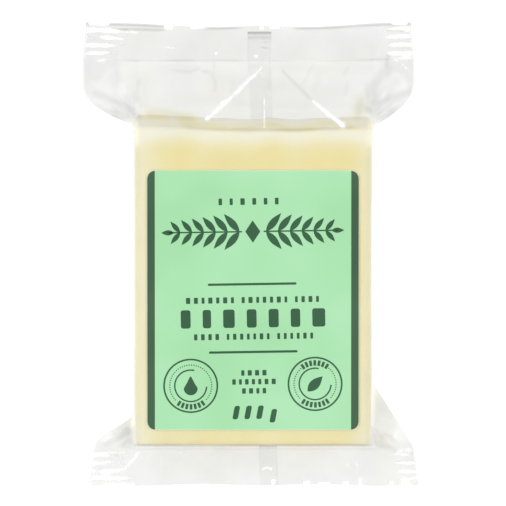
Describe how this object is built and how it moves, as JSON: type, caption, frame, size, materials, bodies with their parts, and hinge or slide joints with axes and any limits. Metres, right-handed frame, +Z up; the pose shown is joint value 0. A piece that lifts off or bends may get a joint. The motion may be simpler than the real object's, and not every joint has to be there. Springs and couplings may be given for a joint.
{
  "type": "film-wrapped block of cheese",
  "caption": "Rectangular block of pale cheddar cheese in a clear flow wrap with crimped end seals and a plain green label on its front.",
  "frame": {"origin": "on the resting face, under the middle of the cheese block", "axes": "+X across the block, +Y along it towards the end with the longer film taper, +Z up out of the labelled front"},
  "size_m": [0.1174, 0.1622, 0.0327],
  "materials": {
    "cheese": "pale creamy cheese, cut smooth, with a faint waxy sheen",
    "film": "clear thin plastic film, glossy and creased",
    "label": "satin printed paper in mint green with dark green shapes"
  },
  "bodies": {
    "root": {"cheese_block": "cheese", "film_bag": "film", "label": "label"}
  },
  "joints": []
}
